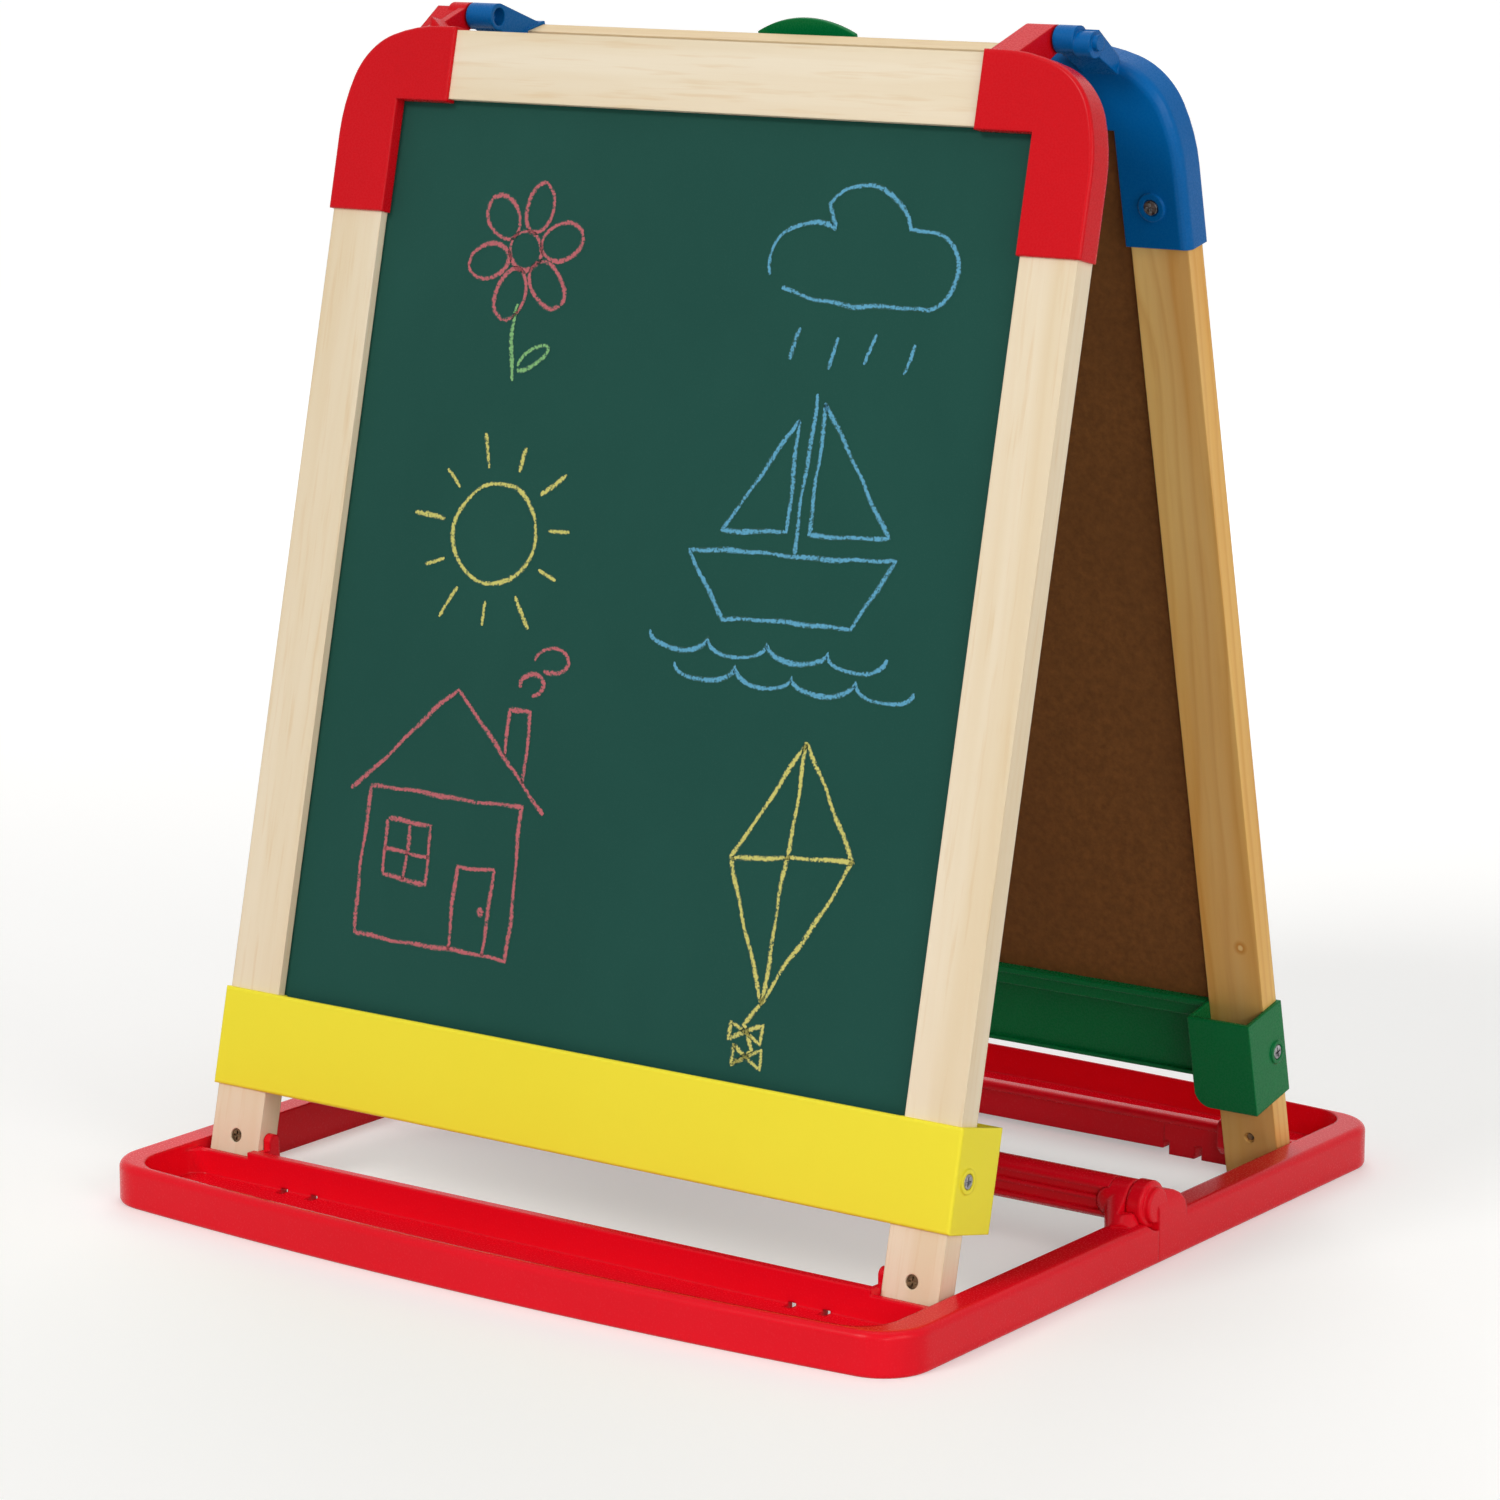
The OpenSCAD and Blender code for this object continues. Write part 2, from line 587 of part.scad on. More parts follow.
// Hinge drum: a disc with soft edges and a smaller cap
drum_l = 8;
module drum(x0) {
    turned(x0) intersection() {
        soft_end(mid_drum_r, drum_l, 1.6);
        translate([0, drum_l]) mirror([0, 1]) soft_end(mid_drum_r, drum_l, 1.2);
    }
    turned(x0 + 1) soft_end(mid_drum_r - 2.8, base_hw - x0 - 1.7, 1);
}

// Neck of the drum: a shoulder on the side rail that falls away from the hinge and is
// rounded on its outer side
neck_r = 12;
module neck() intersection() {
    across(knuckle_x + mid_gap / 2, base_hw) polygon([[0, mid_z],
        [-(mid_drum_r - 2.8) * cos(50), mid_z + (mid_drum_r - 2.8) * sin(50)],
        [-16, mid_z + 3.4], [-19.5, mid_z + 1.4], [-22.5, mid_z - 2.5], [-24, base_h - 0.5],
        [-24, base_h - 6], [-seam, base_h - 6]]);
    slab(-25, 0) {
        translate([base_hw - neck_r, mid_z - 4]) circle(r = neck_r);
        translate([rail_in, base_h - 7]) square([side_w - neck_r, 22]);
        translate([rail_in, base_h - 7]) square([side_w, mid_z - 4 - base_h + 7]);
    }
}

module rear_base_half() rotate([0, 0, 180]) {
    difference() {
        union() {
            difference() {
                base_half();
                both_sides() translate([0, 0, mid_z]) rod_x(bar_r + mid_gap, dome_x - bar_r - 1, knuckle_x + mid_gap / 2);
            }
            // drum and its neck
            both_sides() {
                drum(knuckle_x + mid_gap / 2);
                neck();
            }
        }
        both_sides() translate([0, 0, mid_z]) rod_x(base_pin_r + fit, rail_in, base_hw - 2.5);
    }
}

// Ribbed bar between the elbows, on the axis of the middle hinge
module crossbar() difference() {
    translate([0, 0, mid_z]) rod_x(bar_r, -dome_x, dome_x);
    for (a = [0, 180]) rotate([0, 0, a]) {
        box([-rail_in, bar_flat, 0], [rail_in, bar_r + 1, 2 * mid_z]);
        for (z = [[-5, -0.5], [1.5, 5]])
            box([-rail_in + 12, bar_flat - 2, mid_z + z[0]], [rail_in - 12, bar_r, mid_z + z[1]]);
    }
}

module mid_pins() both_sides() translate([0, 0, mid_z]) rod_x(base_pin_r, rail_in - 5.5, base_hw - 3);

// ---------------------------------------------------------------- nodes

module front_left_stile() color(pine) front_frame_place() mirror([1, 0, 0]) stile();
module front_right_stile() color(pine) front_frame_place() stile();
module front_top_rail() color(pine) front_frame_place() top_rail();
module chalkboard() color("#264e46") front_frame_place() board();
module front_left_corner() color(red) front_frame_place() mirror([1, 0, 0]) {
    block_shell();
    difference() { knuckle_form(); pin_slot(); }
}
module front_right_corner() color(red) front_frame_place() {
    block_shell();
    difference() { arm_form(); pin_slot(); }
}
module front_bottom_rail() color(yellow) front_frame_place() bottom_rail();
module front_corner_screws() color(steel) front_frame_place() corner_screws();
module front_rail_screws() color(steel) front_frame_place() rail_screws();
module front_foot_screws() color(steel) front_frame_place() foot_screws();
module front_pivot_pins() color(steel) front_frame_place() pivot_pins();
module front_hinge_pin() color(steel) rear_frame_place() mirror([1, 0, 0]) hinge_pin();

module rear_left_stile() color(pine) rear_frame_place() stile();
module rear_right_stile() color(pine) rear_frame_place() mirror([1, 0, 0]) stile();
module rear_top_rail() color(pine) rear_frame_place() top_rail();
module dry_erase_board() color("#f4f4f0") rear_frame_place() board();
module rear_left_corner() color(blue) rear_frame_place() {
    block_shell();
    difference() { arm_form(); pin_bore(); }
}
module rear_right_corner() color(blue) rear_frame_place() mirror([1, 0, 0]) {
    block_shell();
    difference() { knuckle_form(); pin_bore(); }
}
module rear_bottom_rail() color(green) rear_frame_place() bottom_rail();
module rear_corner_screws() color(steel) rear_frame_place() corner_screws();
module rear_rail_screws() color(steel) rear_frame_place() rail_screws();
module rear_foot_screws() color(steel) rear_frame_place() foot_screws();
module rear_pivot_pins() color(steel) rear_frame_place() pivot_pins();
module rear_hinge_pin() color(steel) rear_frame_place() hinge_pin();

module clip_base_node() color(green) rear_frame_place() clip_base();
module clip_lever_node() color(green) rear_frame_place() clip_lever();
module clip_pin_node() color(steel) rear_frame_place() clip_pin();
module clip_spring_node() color(steel) rear_frame_place() clip_spring();

module front_base() color(red) front_base_half();
module rear_base() color(red) rear_base_half();
module base_crossbar() color(red) crossbar();
module base_hinge_pins() color(steel) mid_pins();

front_left_stile();
front_right_stile();
front_top_rail();
chalkboard();
front_left_corner();
front_right_corner();
front_bottom_rail();
front_corner_screws();
front_rail_screws();
front_foot_screws();
front_pivot_pins();
front_hinge_pin();
rear_left_stile();
rear_right_stile();
rear_top_rail();
dry_erase_board();
rear_left_corner();
rear_right_corner();
rear_bottom_rail();
rear_corner_screws();
rear_rail_screws();
rear_foot_screws();
rear_pivot_pins();
rear_hinge_pin();
clip_base_node();  // clip_base
clip_lever_node();  // clip_lever
clip_pin_node();  // clip_pin
clip_spring_node();  // clip_spring
front_base();
rear_base();
base_crossbar();
base_hinge_pins();
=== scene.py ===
import bpy
import math
import random
from mathutils import Matrix, Vector


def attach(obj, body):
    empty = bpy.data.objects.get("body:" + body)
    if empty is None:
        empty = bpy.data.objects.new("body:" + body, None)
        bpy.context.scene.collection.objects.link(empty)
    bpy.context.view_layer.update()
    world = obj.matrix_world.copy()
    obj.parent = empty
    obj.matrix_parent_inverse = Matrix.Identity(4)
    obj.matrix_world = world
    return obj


# Dresses the easel: its materials, the chalk drawings, and the studio in which it is seen.
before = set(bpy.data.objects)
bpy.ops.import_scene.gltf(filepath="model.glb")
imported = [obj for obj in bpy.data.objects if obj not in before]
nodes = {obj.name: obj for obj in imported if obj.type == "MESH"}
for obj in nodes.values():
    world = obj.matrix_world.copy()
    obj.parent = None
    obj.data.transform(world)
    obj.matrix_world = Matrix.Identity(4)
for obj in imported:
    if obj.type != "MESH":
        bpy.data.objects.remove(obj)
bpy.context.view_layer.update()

# ---------------------------------------------------------------- the frames' own planes
LEAN = math.radians(12.85)             # each frame from upright
HINGE_T, HINGE_V = 0.03015, 0.5587     # top hinge's axis: behind the outer face, and up the slope
FOOT_Y = HINGE_T * math.cos(LEAN) + HINGE_V * math.sin(LEAN)   # outer face's plane at the table
BOARD_T = 0.0045                       # a board's face behind the frame's outer face
FACE_SKIN = 0.0008                     # depth of the paint or laminate on a board's face
CHALK_PROUD = 0.00012                  # chalk in front of the chalkboard's face


def front_pt(u, t, v):
    """A point u across, t behind the outer face and v up the slope of the front frame."""
    return Vector((u, -FOOT_Y + t * math.cos(LEAN) + v * math.sin(LEAN),
                   v * math.cos(LEAN) - t * math.sin(LEAN)))


def rear_pt(u, t, v):
    """The same on the rear frame, which is the front one turned by half a turn."""
    p = front_pt(u, t, v)
    return Vector((-p.x, -p.y, p.z))


# ---------------------------------------------------------------- node helpers
MIX_FACTOR, MIX_A, MIX_B, MIX_RESULT = 0, 6, 7, 2   # a mix node's sockets for colours, by index
BEVEL_SAMPLES = 8


def srgb(r, g, b):
    """A colour given as it looks on a screen, 0 to 255, in the linear values that nodes take."""
    def linear(c):
        c /= 255.0
        return c / 12.92 if c <= 0.04045 else ((c + 0.055) / 1.055) ** 2.4
    return (linear(r), linear(g), linear(b), 1.0)


class Graph:
    """A node tree, with short names for what the materials and the world need."""

    def __init__(self, tree):
        self.tree = tree
        tree.nodes.clear()

    def put(self, socket, value):
        """Links the socket to another node's output, or writes a plain value into it."""
        if isinstance(value, bpy.types.NodeSocket):
            self.tree.links.new(value, socket)
        else:
            socket.default_value = value

    def node(self, kind, inputs=None, **settings):
        """A new node; inputs gives its input sockets by name or index."""
        made = self.tree.nodes.new(kind)
        for key, value in settings.items():
            setattr(made, key, value)
        for key, value in (inputs or {}).items():
            self.put(made.inputs[key], value)
        return made

    def math(self, operation, a, b=0.0):
        return self.node("ShaderNodeMath", {0: a, 1: b}, operation=operation).outputs[0]

    def remap(self, value, from_min, from_max, to_min, to_max):
        """Value carried from one range to the other, and held at its ends."""
        return self.node("ShaderNodeMapRange", {
            "Value": value, "From Min": from_min, "From Max": from_max,
            "To Min": to_min, "To Max": to_max}).outputs["Result"]

    def mix(self, factor, a, b):
        """Colour a, with colour b over it by the factor."""
        return self.node("ShaderNodeMix", {MIX_FACTOR: factor, MIX_A: a, MIX_B: b},
                         data_type="RGBA").outputs[MIX_RESULT]

    def ramp(self, factor, stops):
        """Colours along the factor; stops are (position, colour) pairs."""
        made = self.node("ShaderNodeValToRGB", {"Fac": factor})
        elements = made.color_ramp.elements
        while len(elements) < len(stops):
            elements.new(0.5)
        for element, (position, colour) in zip(elements, stops):
            element.position = position
            element.color = (*colour[:3], 1.0)
        return made.outputs["Color"]

    def mapping(self, vector, rot=(0, 0, 0), scale=(1, 1, 1), loc=(0, 0, 0)):
        return self.node("ShaderNodeMapping", {
            "Vector": vector, "Rotation": rot, "Scale": scale, "Location": loc}).outputs["Vector"]

    def noise(self, vector, scale, detail, rough=0.5, distortion=0.0):
        return self.node("ShaderNodeTexNoise", {
            "Vector": vector, "Scale": scale, "Detail": detail, "Roughness": rough,
            "Distortion": distortion}).outputs["Fac"]

    def split(self, vector):
        """The x, y and z of a vector."""
        return self.node("ShaderNodeSeparateXYZ", {"Vector": vector}).outputs

    def bevel(self, radius):
        """A normal that rounds the edges."""
        return self.node("ShaderNodeBevel", {"Radius": radius}, samples=BEVEL_SAMPLES).outputs["Normal"]

    def bump(self, height, strength, distance, normal=None):
        inputs = {"Height": height, "Strength": strength, "Distance": distance}
        if normal is not None:
            inputs["Normal"] = normal
        return self.node("ShaderNodeBump", inputs).outputs["Normal"]


class Surface(Graph):
    """A material with one principled shader; place is the point on the part as it stands at rest."""

    def __init__(self, name):
        self.material = bpy.data.materials.new(name)
        self.material.use_nodes = True
        super().__init__(self.material.node_tree)
        self.shader = self.node("ShaderNodeBsdfPrincipled")
        self.output = self.node("ShaderNodeOutputMaterial", {"Surface": self.shader.outputs["BSDF"]})
        self.place = self.node("ShaderNodeTexCoord").outputs["Object"]

    def dress(self, inputs):
        """Sets the shader's sockets by name, and hands over the material."""
        for key, value in inputs.items():
            self.put(self.shader.inputs[key], value)
        return self.material


# ---------------------------------------------------------------- wood
WOOD_ROUGH = 0.42
RING_SLANT = 2.2                       # rings through the thickness for each one across the width
LATE_WOOD = ((0.0, 0.55), (0.12, 0.0), (0.6, 0.12), (0.93, 1.0), (1.0, 0.55))   # darkness in a ring


def wood(name, tones, rot, along, seed, knots=(), pitch=110.0, depth=0.12, wave=1.0, zones=0.1,
         flecks=0.3):
    """Varnished pine in its light, middle and dark tone.

    rot turns the frame's slope upright, along is the grain's axis, x or z, and seed moves the
    pattern.  pitch is growth rings per metre, depth their contrast and wave how far they wander.
    zones and flecks are the contrast of broad darker areas and of short streaks.  knots are
    (place, radius) pairs.
    """
    light, mid, dark = tones
    m = Surface(name)
    moved = m.mapping(m.place, rot=rot, loc=(seed, seed * 1.7, seed * 0.6))

    def grain(across, length, detail, rough, distortion=0.0):
        """Noise with so many features per metre across the grain and along it."""
        scale = (across, across, length) if along == "z" else (length, across, across)
        return m.noise(m.mapping(moved, scale=scale), 1.0, detail, rough, distortion)

    # growth rings, bent by two noises
    x, y, z = m.split(moved)
    width = x if along == "z" else z
    straight = m.math("ADD", m.math("MULTIPLY", width, pitch),
                      m.math("MULTIPLY", y, pitch * RING_SLANT))
    bend = m.math("ADD", m.math("MULTIPLY", grain(16.0, 2.6, 2.0, 0.45, 0.3), 5.5 * wave),
                  m.math("MULTIPLY", grain(5.0, 1.1, 1.0, 0.4), 7.0 * wave))
    ring = m.math("FRACT", m.math("ADD", straight, bend))
    late = m.ramp(ring, [(position, (grey,) * 3) for position, grey in LATE_WOOD])
    fade = m.remap(grain(12.0, 3.5, 2.0, 0.5), 0.35, 0.65, depth * 0.3, depth)

    # colour, from the broadest pattern to the finest
    fine = grain(1400.0, 26.0, 3.0, 0.6)
    colour = m.ramp(grain(60.0, 2.4, 3.0, 0.5), [(0.3, mid), (0.65, light)])
    colour = m.mix(m.math("MULTIPLY", late, fade), colour, dark)
    colour = m.mix(m.remap(grain(24.0, 1.5, 2.0, 0.5, 0.4), 0.44, 0.62, 0.0, zones), colour, dark)
    colour = m.mix(m.remap(grain(380.0, 22.0, 2.0, 0.55), 0.56, 0.74, 0.0, flecks), colour, dark)
    colour = m.mix(m.remap(fine, 0.5, 0.8, 0.0, 0.22), colour, mid)
    for centre, radius in knots:
        away = m.node("ShaderNodeVectorMath", {0: m.place, 1: centre}, operation="DISTANCE")
        wobble = m.math("MULTIPLY", m.noise(m.place, 240.0, 2.0), radius * 0.4)
        away = m.math("ADD", away.outputs["Value"], wobble)
        colour = m.mix(m.remap(away, radius * 0.9, radius * 1.7, 0.8, 0.0), colour, dark)
        colour = m.mix(m.remap(away, radius * 0.55, radius * 0.8, 0.9, 0.0), colour, light)

    height = m.math("ADD", m.math("MULTIPLY", fine, 0.7), m.math("MULTIPLY", late, 0.25))
    return m.dress({
        "Base Color": colour,
        "Roughness": m.remap(fine, 0.3, 0.7, WOOD_ROUGH - 0.05, WOOD_ROUGH + 0.12),
        "Specular IOR Level": 0.2,
        "Coat Weight": 0.05,
        "Coat Roughness": 0.3,
        "Normal": m.bump(height, 0.12, 0.0003, m.bevel(0.0009)),
    })


# ---------------------------------------------------------------- mouldings and metal
def plastic(name, base, shade, rough=0.27, edge=0.0011, level=0.12):
    """Injection-moulded plastic: a barely mottled tone, a fine satin skin, softened edges."""
    m = Surface(name)
    cloud = m.noise(m.place, 9.0, 2.0, 0.45)
    skin = m.noise(m.place, 1100.0, 2.0, 0.5)
    return m.dress({
        "Base Color": m.ramp(cloud, [(0.3, shade), (0.7, base)]),
        "Roughness": m.remap(skin, 0.3, 0.7, rough - 0.03, rough + 0.04),
        "Specular IOR Level": level,
        "Normal": m.bump(skin, 0.01, 0.0002, m.bevel(edge)),
    })


def steel(name, low, high):
    """Metal that is dull in patches, between its low and its high tone."""
    m = Surface(name)
    grime = m.noise(m.place, 420.0, 4.0, 0.6)
    return m.dress({
        "Base Color": m.ramp(grime, [(0.3, low), (0.65, high)]),
        "Metallic": 1.0,
        "Roughness": m.remap(grime, 0.3, 0.7, 0.28, 0.5),
        "Normal": m.bump(m.noise(m.place, 1500.0, 2.0), 0.15, 0.0002, m.bevel(0.0003)),
    })


# ---------------------------------------------------------------- boards and chalk
CHALKBOARD = srgb(16, 69, 60)
WHITE_BOARD = srgb(240, 240, 236)
# painted shade: the back's browns and its blot are darker than bare hardboard, for the shade between the
# two frames
SHADED_HARDBOARD = (srgb(104, 65, 27), srgb(140, 91, 42))   # between its fibres, and on them
HARDBOARD_BLOT = srgb(110, 69, 29)
CHALK_DUST = (0.17, 0.27, 0.25, 1)


def board_tone(m):
    """The chalkboard's painted face with wiped dust: its colour, and the grain of the paint."""
    cloud = m.noise(m.mapping(m.place, scale=(1, 1, 0.7)), 9.0, 5.0, 0.6, 0.4)
    speck = m.noise(m.place, 1300.0, 2.0, 0.6)
    lifted = tuple(c * 1.14 + 0.002 for c in CHALKBOARD)
    colour = m.ramp(cloud, [(0.3, CHALKBOARD), (0.75, lifted)])
    return m.mix(m.remap(speck, 0.55, 0.8, 0.0, 0.04), colour, CHALK_DUST), speck


def panel(name, side, glossy):
    """A hardboard panel: a painted or a glossy laminated face, and a bare brown back that is darker than
    bare hardboard as painted shade.
    side is -1 on the front frame and +1 on the rear one."""
    m = Surface(name)
    fibre = m.noise(m.place, 260.0, 5.0, 0.7)
    blot = m.noise(m.place, 12.0, 3.0, 0.5)
    if glossy:
        face = m.ramp(blot, [(0.2, WHITE_BOARD), (0.8, tuple(c * 0.96 for c in WHITE_BOARD))])
        relief = m.math("MULTIPLY", fibre, 0.05)
        rough, level = 0.16, 0.3
    else:
        face, speck = board_tone(m)
        relief = m.math("MULTIPLY", speck, 0.35)
        rough, level = 0.62, 0.15
    # the back's brown holds painted shade: it is darker than bare hardboard
    brown = m.ramp(fibre, [(0.25, SHADED_HARDBOARD[0]), (0.75, SHADED_HARDBOARD[1])])
    brown = m.mix(m.remap(blot, 0.35, 0.7, 0.0, 0.4), brown, HARDBOARD_BLOT)

    # back is 1 for whatever lies deeper than the coloured skin of the board's face
    _, y, z = m.split(m.place)
    inward = m.math("ADD", m.math("MULTIPLY", y, -side), FOOT_Y)
    depth = m.math("SUBTRACT", m.math("MULTIPLY", inward, math.cos(LEAN)),
                   m.math("MULTIPLY", z, math.sin(LEAN)))
    back = m.math("GREATER_THAN", depth, BOARD_T + FACE_SKIN)
    height = m.math("ADD", m.math("MULTIPLY", back, fibre), relief)
    return m.dress({
        "Base Color": m.mix(back, face, brown),
        "Roughness": m.remap(back, 0.0, 1.0, rough, 0.8),
        "Specular IOR Level": level,
        "Normal": m.bump(height, 0.18, 0.0003),
    })


def chalk(name, colour):
    """Chalk on the board: the stroke breaks up into grains, most of all at its edges."""
    m = Surface(name)
    face, speck = board_tone(m)
    edge = m.node("ShaderNodeAttribute", attribute_name="edge").outputs["Fac"]
    grain = m.noise(m.place, 900.0, 3.0, 0.75)
    patch = m.noise(m.place, 130.0, 2.0, 0.6)
    level = m.math("ADD", m.math("MULTIPLY", m.math("POWER", edge, 2.0), 0.30), 0.38)
    level = m.math("SUBTRACT", level, m.math("MULTIPLY", m.math("SUBTRACT", patch, 0.5), 0.25))
    covered = m.remap(m.math("SUBTRACT", grain, level), -0.05, 0.08, 0.0, 0.92)
    height = m.math("ADD", m.math("MULTIPLY", speck, 0.35), covered)
    return m.dress({
        "Base Color": m.mix(covered, face, colour),
        "Roughness": 0.85,
        "Normal": m.bump(height, 0.2, 0.0002),
    })


# ---------------------------------------------------------------- which piece looks how
FRONT_ROT, REAR_ROT = (LEAN, 0, 0), (-LEAN, 0, 0)    # these turn a frame upright, for its grain
# light, middle and dark tone of each pine
PALE = (srgb(243, 230, 206), srgb(234, 216, 184), srgb(218, 180, 122))
WARM = (srgb(236, 214, 174), srgb(226, 200, 154), srgb(206, 162, 104))
# the rear stiles' tones: partly the pine's own gold, partly painted warm shade and light reflected from
# the boards
GOLD_AND_WARM_SHADE = (srgb(252, 220, 148), srgb(247, 201, 112), srgb(212, 140, 50))
BOLD_GRAIN = dict(pitch=70.0, depth=0.45, wave=1.7, zones=0.55, flecks=0.15)
KNOT = (tuple(rear_pt(-0.196, 0.012, 0.124)), 0.0028)   # place and radius

red = plastic("red_moulding", srgb(212, 14, 27), srgb(208, 12, 24))
base_red = plastic("base_moulding", srgb(235, 13, 35), srgb(231, 12, 32), rough=0.25, edge=0.0016,
                   level=0.14)
blue = plastic("blue_moulding", srgb(0, 99, 170), srgb(0, 95, 165))
yellow = plastic("yellow_moulding", srgb(246, 233, 60), srgb(244, 230, 56), rough=0.34)
green = plastic("green_moulding", srgb(0, 119, 62), srgb(0, 115, 59))
metal = steel("screw_steel", (0.08, 0.08, 0.085), (0.46, 0.46, 0.47))
# partly painted shade: the foot screws' bronze is darkened to stand for the shade of their recess
bronze_and_recess_shade = steel("foot_screw_bronze", (0.03, 0.018, 0.01), (0.24, 0.15, 0.08))

own_look = {
    "front_left_stile": wood("pine_front_left", PALE, FRONT_ROT, "z", 3.1),
    "front_right_stile": wood("pine_front_right", PALE, FRONT_ROT, "z", 7.7),
    "front_top_rail": wood("pine_front_top", PALE, FRONT_ROT, "x", 1.9),
    "rear_left_stile": wood("pine_rear_left", GOLD_AND_WARM_SHADE, REAR_ROT, "z", 5.3, **BOLD_GRAIN),
    "rear_right_stile": wood("pine_rear_right", GOLD_AND_WARM_SHADE, REAR_ROT, "z", 9.4, knots=[KNOT], **BOLD_GRAIN),
    "rear_top_rail": wood("pine_rear_top", WARM, REAR_ROT, "x", 2.6, depth=0.2),
    "chalkboard": panel("chalkboard_panel", -1, glossy=False),
    "dry_erase_board": panel("dry_erase_panel", 1, glossy=True),
}


def shared_look(name):
    """The material of a piece that has none to itself: the mouldings, screws, pins and spring."""
    front = name.startswith("front")
    if name.endswith("_corner"):
        return red if front else blue
    if name.endswith("bottom_rail"):
        return yellow if front else green
    if name in ("clip_base", "clip_lever"):
        return green
    if name in ("front_base", "rear_base", "base_crossbar"):
        return base_red
    return bronze_and_recess_shade if "foot_screws" in name else metal


for name, piece in nodes.items():
    material = own_look[name] if name in own_look else shared_look(name)
    if not piece.material_slots:
        piece.data.materials.append(material)
    for slot in piece.material_slots:
        slot.material = material

# ---------------------------------------------------------------- how the chalk is drawn
# In millimetres on the chalkboard: x across from its middle, y up the slope from the table.
MM_PER_M = 1000
LINE_STEP = 1.6                        # between the points of a line
LINE_WIDTH = 2.6                       # on average
SWELL, RAGGED = 0.16, 0.08             # how much the width changes, slowly and at every point
TAPER = 0.6                            # of the width, at both ends
SWAY, TREMOR = 0.55, 0.25              # the hand's slow and quick wobble
PHASES = 6.28                          # where a wobble may start, in radians
ACROSS = (-1.0, -0.5, 0.0, 0.5, 1.0)   # a ribbon's points, from one side to the other
rng = random.Random(11)


def arc(cx, cy, rx, ry, start, end, count=None, tilt=0.0):
    """Points of an ellipse's arc, with its angles in degrees."""
    count = count or max(6, int(abs(end - start) / 12))
    c, s = math.cos(math.radians(tilt)), math.sin(math.radians(tilt))
    points = []
    for i in range(count + 1):
        a = math.radians(start + (end - start) * i / count)
        x, y = rx * math.cos(a), ry * math.sin(a)
        points.append((cx + x * c - y * s, cy + x * s + y * c))
    return points


def shut(points):
    """A closed outline through these points."""
    return points + [points[0]]


def oval(*ellipse):
    """An ellipse drawn round as an arc, whose last point gives way to its first one."""
    return shut(arc(*ellipse)[:-1])


def by_hand(points):
    """Points every LINE_STEP along the line, with a hand's small wobble."""
    even = []
    for (x0, y0), (x1, y1) in zip(points, points[1:]):
        k = max(1, int(math.hypot(x1 - x0, y1 - y0) / LINE_STEP))
        even += [(x0 + (x1 - x0) * i / k, y0 + (y1 - y0) * i / k) for i in range(k)]
    even.append(points[-1])
    sway_x, sway_y, tremor_x, tremor_y = (rng.uniform(0, PHASES) for _ in range(4))
    run, wobbled = 0.0, []
    for i, (x, y) in enumerate(even):
        if i:
            run += math.hypot(x - even[i - 1][0], y - even[i - 1][1])
        wobbled.append((x + SWAY * math.sin(run / 11 + sway_x) + TREMOR * math.sin(run / 4.3 + tremor_x),
                        y + SWAY * math.sin(run / 13 + sway_y) + TREMOR * math.sin(run / 3.7 + tremor_y)))
    return wobbled


def strokes(name, lines, colour):
    """Lines as flat ribbons just proud of the board; their edge attribute is 1 at both sides."""
    verts, faces, edge = [], [], []
    row = len(ACROSS)
    for line in lines:
        points = by_hand(line)
        first = len(verts)
        phase = rng.uniform(0, PHASES)
        for i, (x, y) in enumerate(points):
            xa, ya = points[max(0, i - 1)]
            xb, yb = points[min(len(points) - 1, i + 1)]
            d = math.hypot(xb - xa, yb - ya) or 1.0
            nx, ny = -(yb - ya) / d, (xb - xa) / d
            w = LINE_WIDTH / 2 * (1 + SWELL * math.sin(i / 5.0 + phase) + rng.uniform(-RAGGED, RAGGED))
            if i in (0, len(points) - 1):
                w *= TAPER
            for a in ACROSS:
                verts.append(front_pt((x + nx * w * a) / MM_PER_M, BOARD_T - CHALK_PROUD,
                                      (y + ny * w * a) / MM_PER_M))
                edge.append(abs(a))
        for i in range(len(points) - 1):
            for j in range(row - 1):
                k = first + i * row + j
                faces.append((k, k + row, k + row + 1, k + 1))
    mesh = bpy.data.meshes.new(name)
    mesh.from_pydata(verts, [], faces)
    mesh.attributes.new("edge", "FLOAT", "POINT").data.foreach_set("value", edge)
    mesh.update()
    o = bpy.data.objects.new(name, mesh)
    bpy.context.scene.collection.objects.link(o)
    mesh.materials.append(chalk(name + "_chalk", colour))
    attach(o, "front_frame")


# ---------------------------------------------------------------- what is drawn
def sun(x, y, rays=11):
    """A disc with rays, every other one long."""
    lines = [oval(x, y, 24, 23, 20, 372)]
    for i in range(rays):
        a = math.radians(i * 360 / rays + 8)
        lines.append([(x + r * math.cos(a), y + r * math.sin(a)) for r in (31, 48 if i % 2 else 42)])
    return lines


def petals(x, y, count=6):
    """A flower's head: its middle, with petals around it."""
    lines = [oval(x, y, 9, 9, 0, 348)]
    for i in range(count):
        tilt = i * 360 / count + 15
        cx, cy = x + 21 * math.cos(math.radians(tilt)), y + 21 * math.sin(math.radians(tilt))
        lines.append(oval(cx, cy, 12, 8, 0, 340, 20, tilt))
    return lines


def wave(x, y, hollows=4, half=16):
    """A line of hollows that meet in crests; half is half a hollow's width."""
    line = []
    for i in range(hollows):
        line += arc(x + half + 2 * half * i, y, half, 7, 180, 360)[(1 if i else 0):]
    return line


def bow(x, y):
    """A bow on the kite's tail."""
    return shut([(x - 8, y + 4), (x - 8, y - 4), (x + 8, y + 4), (x + 8, y - 4)])


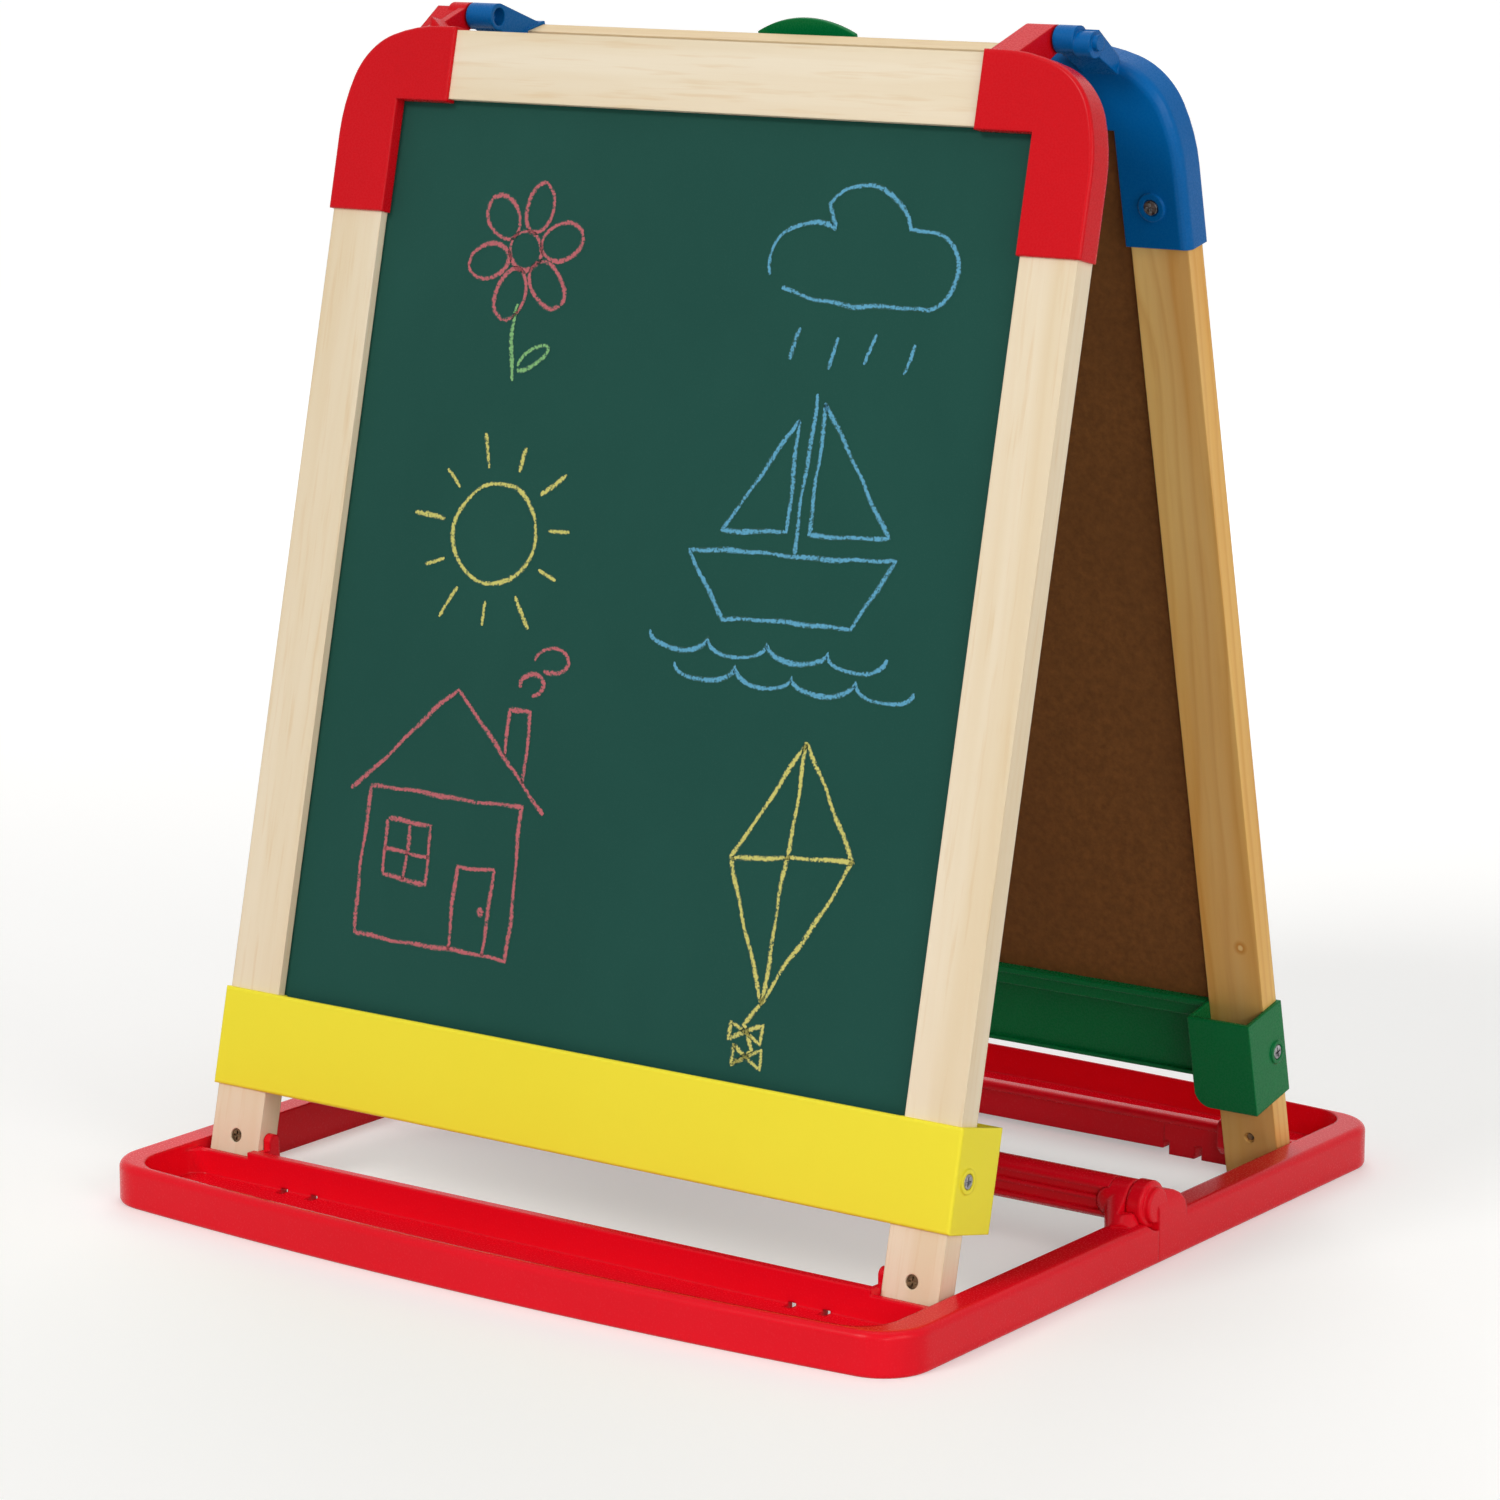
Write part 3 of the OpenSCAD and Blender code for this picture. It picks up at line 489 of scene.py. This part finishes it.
# on the left, from the top: a flower, the sun, and a house with smoke over its chimney
stem = [
    [(-92, 424), (-94, 406), (-90, 388)],
    arc(-80, 400, 10, 4, 190, 520, 20, 35),                      # leaf
]
house = [
    shut([(-140, 128), (-141, 196), (-52, 197), (-50, 127)]),    # walls
    [(-152, 194), (-97, 246), (-40, 195)],                       # roof
    [(-84, 127), (-84, 166), (-64, 167), (-63, 127)],            # door
    shut([(-128, 182), (-127, 156), (-102, 155), (-102, 182)]),  # window
    [(-115, 182), (-115, 155)],                                  # its bars
    [(-128, 169), (-102, 168)],
    [(-66, 218), (-66, 240), (-54, 241), (-54, 207)],            # chimney
    arc(-68, 147, 1.2, 1.2, 0, 330),                             # door knob
]
smoke = [arc(-56, 252, 7, 5, -80, 200, 16), arc(-46, 264, 9, 6, -120, 180, 18)]

# on the right, from the top: a cloud with rain, a sailing boat on waves, and a kite
cloud = [arc(66, 452, 22, 18, 200, 60) + arc(92, 466, 24, 22, 160, 10)[1:]
         + arc(124, 452, 20, 17, 100, -70)[1:] + [(112, 436), (92, 434), (72, 436), (52, 441)]]
rain = [[(66 + 20 * i, 424 - 3 * (i % 2)), (62 + 20 * i, 410 - 3 * (i % 2))] for i in range(4)]
boat = [
    shut([(22, 322), (132, 326), (112, 296), (44, 293)]),        # hull
    [(78, 325), (79, 396)],                                      # mast
    shut([(84, 392), (85, 334), (126, 336)]),                    # sails
    shut([(72, 384), (72, 334), (38, 332)]),
]
kite = [
    shut([(98, 244), (130, 196), (92, 128), (66, 190)]),         # outline
    [(98, 244), (92, 128)],                                      # sticks
    [(66, 190), (130, 196)],
    [(92, 128), (84, 118), (90, 108), (80, 100)],                # tail
    bow(86, 115),
    bow(88, 105),
]

strokes("chalk_blue", cloud + rain + boat + [wave(6, 284), wave(22, 272)], srgb(92, 168, 204))
strokes("chalk_yellow", sun(-88, 318) + kite, srgb(214, 208, 112))
strokes("chalk_pink", house + petals(-92, 448) + smoke, srgb(196, 100, 108))
strokes("chalk_green", stem, srgb(132, 190, 120))

# ---------------------------------------------------------------- floor and world
FLOOR_HALF = 40                        # metres from the part to the floor's sides
GLOW_NEAR, GLOW_FAR = 0.34, 0.60       # the floor's own light, by the part and away from it
GLOW_FROM, GLOW_TO = 0.5, 3.2          # metres from the part between which it grows
AMBIENT = 0.27                         # the world's light on the part


def seen_factor(g):
    """1 for rays that show the background: from the camera, in reflections and through glass."""
    rays = g.node("ShaderNodeLightPath").outputs
    direct = g.math("MAXIMUM", rays["Is Camera Ray"], rays["Is Glossy Ray"])
    return g.math("MAXIMUM", direct, rays["Is Transmission Ray"])


def pale_floor():
    """A pale surface that takes the part's shadow.  A glow that only seen rays find lets it run out
    into the white of the world, and lights the part no further than in its reflections."""
    m = Surface("pale_floor")
    m.dress({"Base Color": (0.70, 0.698, 0.69, 1), "Roughness": 0.7})
    away = m.node("ShaderNodeVectorMath", {0: m.place}, operation="LENGTH").outputs["Value"]
    glow = m.node("ShaderNodeEmission", {
        "Color": (1.0, 0.999, 0.995, 1),
        "Strength": m.math("MULTIPLY", seen_factor(m),
                           m.remap(away, GLOW_FROM, GLOW_TO, GLOW_NEAR, GLOW_FAR))})
    both = m.node("ShaderNodeAddShader", {0: m.shader.outputs["BSDF"], 1: glow.outputs["Emission"]})
    m.put(m.output.inputs["Surface"], both.outputs["Shader"])
    return m.material


def studio_world():
    """A dim, even light on the part, which is near white for seen rays."""
    world = bpy.data.worlds.new("studio")
    world.use_nodes = True
    g = Graph(world.node_tree)
    light = g.node("ShaderNodeBackground", {"Color": (1.0, 0.99, 0.975, 1), "Strength": AMBIENT})
    seen = g.node("ShaderNodeBackground", {"Color": (0.95, 0.95, 0.95, 1), "Strength": 1.0})
    both = g.node("ShaderNodeMixShader", {
        0: seen_factor(g), 1: light.outputs["Background"], 2: seen.outputs["Background"]})
    g.node("ShaderNodeOutputWorld", {"Surface": both.outputs["Shader"]})
    return world


ground = bpy.data.meshes.new("floor")
ground.from_pydata([(FLOOR_HALF * x, FLOOR_HALF * y, 0) for x, y in ((-1, -1), (1, -1), (1, 1), (-1, 1))],
                   [], [(0, 1, 2, 3)])
ground.materials.append(pale_floor())
floor = bpy.data.objects.new("floor", ground)
bpy.context.scene.collection.objects.link(floor)
bpy.context.scene.world = studio_world()

# ---------------------------------------------------------------- lamps
LAMP_AIM = Vector((0, 0, 0.25))


def lamp(name, kind, energy, place, spread, colour=(1, 1, 1), mirrored=True):
    """A lamp that shines at the part.  spread is an area lamp's side in metres or the sun's angle
    in radians, and mirrored is whether surfaces mirror the lamp."""
    data = bpy.data.lights.new(name, kind)
    data.energy = energy
    data.color = colour
    if kind == "AREA":
        data.shape = "SQUARE"
        data.size = spread
    else:
        data.angle = spread
    o = bpy.data.objects.new(name, data)
    bpy.context.scene.collection.objects.link(o)
    o.location = place
    o.rotation_euler = (LAMP_AIM - Vector(place)).to_track_quat("-Z", "Y").to_euler()
    o.visible_glossy = mirrored


lamp("key_sun", "SUN", 1.17, (-0.6, -2.2, 1.9), 0.32, (1.0, 0.985, 0.96))
lamp("soft_right", "AREA", 17, (2.3, -0.7, 1.3), 1.2, (1.0, 0.97, 0.93))
lamp("fill", "AREA", 12, (2.0, -2.1, 0.8), 0.8, (1.0, 0.99, 0.97))
lamp("top_box", "AREA", 4, (0.0, 0.1, 1.9), 1.1)
lamp("back_soft", "AREA", 22, (-1.2, 1.9, 2.1), 1.6, mirrored=False)

# ---------------------------------------------------------------- camera
CAMERA_PLACE = Vector((1.2830, -1.7848, 0.6517))
CAMERA_AIM = Vector((-0.00104, 0.0, 0.20647))
CAMERA_ROLL = math.radians(0.122)
CAMERA_LENS, CAMERA_SENSOR = 116.31, 36.0   # millimetres
CAMERA_REACH = 100.0                        # metres, past the floor's far side

camera = bpy.data.objects.new("camera", bpy.data.cameras.new("camera"))
bpy.context.scene.collection.objects.link(camera)
camera.data.lens = CAMERA_LENS
camera.data.sensor_width = CAMERA_SENSOR
camera.data.clip_end = CAMERA_REACH
turn = (CAMERA_AIM - CAMERA_PLACE).to_track_quat("-Z", "Y").to_matrix().to_4x4()
camera.matrix_world = Matrix.Translation(CAMERA_PLACE) @ turn @ Matrix.Rotation(CAMERA_ROLL, 4, "Z")
bpy.context.scene.camera = camera
bpy.context.scene.view_settings.view_transform = "Standard"
